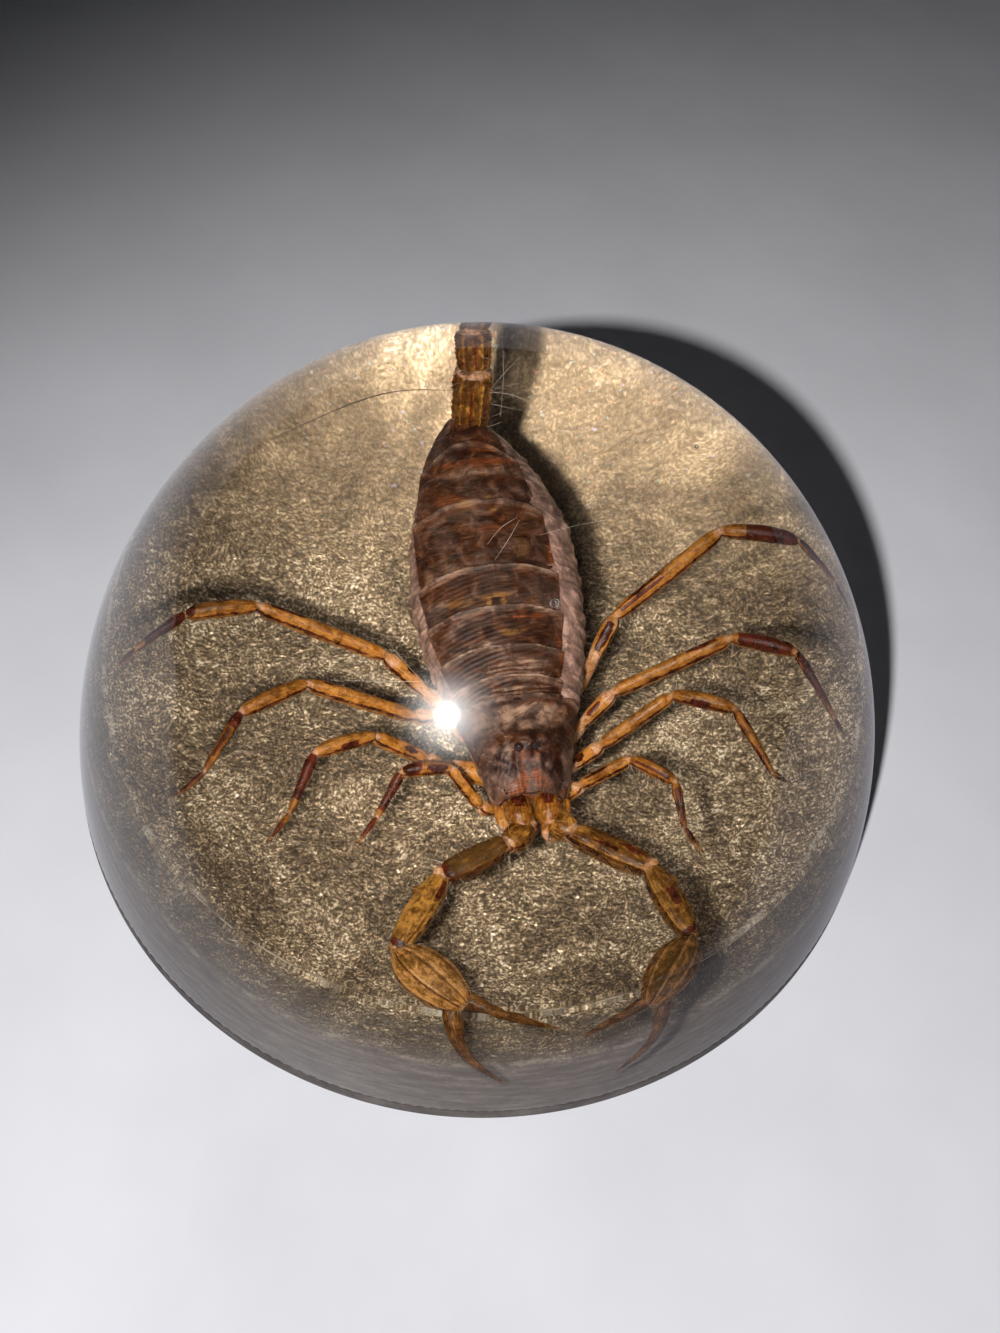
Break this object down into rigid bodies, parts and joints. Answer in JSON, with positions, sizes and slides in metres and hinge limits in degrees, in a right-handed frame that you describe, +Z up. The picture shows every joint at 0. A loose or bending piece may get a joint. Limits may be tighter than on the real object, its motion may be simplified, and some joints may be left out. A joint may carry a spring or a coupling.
{
  "type": "scorpion in resin dome",
  "caption": "Desk paperweight: a dried scorpion cast in a clear resin dome with a flat gold-flake underside.",
  "frame": {"origin": "centre of the flat underside", "axes": "+Z up out of the dome's crown, -Y towards the scorpion's head"},
  "size_m": [0.088, 0.088, 0.0415],
  "materials": {
    "scorpion_shell": "dried amber and red-brown shell, darker on the back, fine pale hairs",
    "clear_resin": "clear cast resin, polished, index of refraction about 1.54",
    "gold_flake": "fine champagne-gold flakes packed in resin"
  },
  "bodies": {
    "root": {"scorpion": "scorpion_shell", "dome_lower": "clear_resin", "dome_upper": "clear_resin", "glitter_backing": "gold_flake"}
  },
  "joints": []
}
